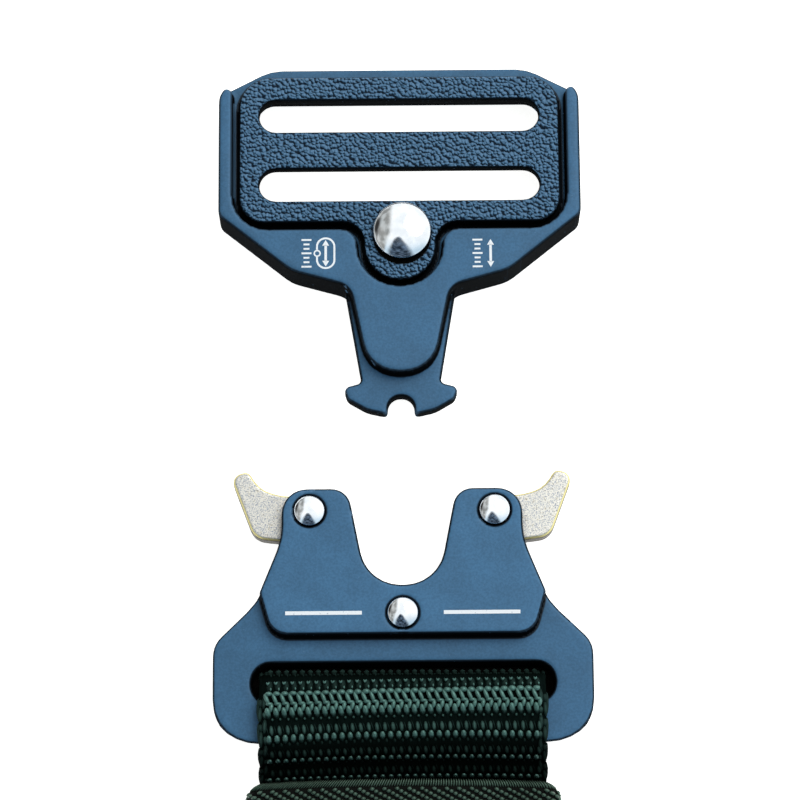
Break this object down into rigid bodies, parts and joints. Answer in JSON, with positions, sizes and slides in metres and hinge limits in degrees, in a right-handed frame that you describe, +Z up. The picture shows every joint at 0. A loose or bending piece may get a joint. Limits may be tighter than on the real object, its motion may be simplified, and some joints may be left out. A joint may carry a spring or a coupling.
{
  "type": "canvas belt with an open quick-release buckle",
  "caption": "Ribbed webbing belt end with an elastic keeper and a cast quick-release buckle, shown open, with spring release levers and a slotted adjuster plate.",
  "frame": {"origin": "on the surface the belt lies on, under the middle of the whole length and of the width", "axes": "+Y along the belt from the webbing's free end towards the loose male half, +X to the right, +Z up out of the belt's face"},
  "size_m": [0.0502, 0.164, 0.0086],
  "materials": {
    "blue_black_coat": "satin blue-black coat on cast zinc alloy",
    "grained_coat": "the same coat over a cast leather-like grain",
    "chromed_rivet": "polished dome",
    "aged_brass": "tumbled, speckled, with bright edges",
    "green_webbing": "heavy ribbed nylon weave",
    "green_elastic": "woven elastic with diagonal rows"
  },
  "bodies": {
    "root": {"female_frame": "blue_black_coat", "cover_plate": "blue_black_coat", "rivet_left": "chromed_rivet", "rivet_right": "chromed_rivet", "rivet_centre": "chromed_rivet", "webbing_strap": "green_webbing", "elastic_keeper": "green_elastic", "male_body": "blue_black_coat", "adjuster_plate": "grained_coat", "adjuster_rivet": "chromed_rivet"},
    "lever_left": {"lever_left": "aged_brass"},
    "lever_right": {"lever_right": "aged_brass"}
  },
  "joints": [
    {"name": "lever_left_turn", "type": "hinge", "parent": "root", "child": "lever_left", "pos_m": [-0.0123, 0.01896, 0], "axis": [0, 0, -1], "range_deg": [0, 14], "stiffness_Nm_per_rad": 0.05, "springref_deg": -14.32},
    {"name": "lever_right_turn", "type": "hinge", "parent": "root", "child": "lever_right", "pos_m": [0.0123, 0.01896, 0], "axis": [0, 0, 1], "range_deg": [0, 14], "stiffness_Nm_per_rad": 0.05, "springref_deg": -14.32}
  ]
}
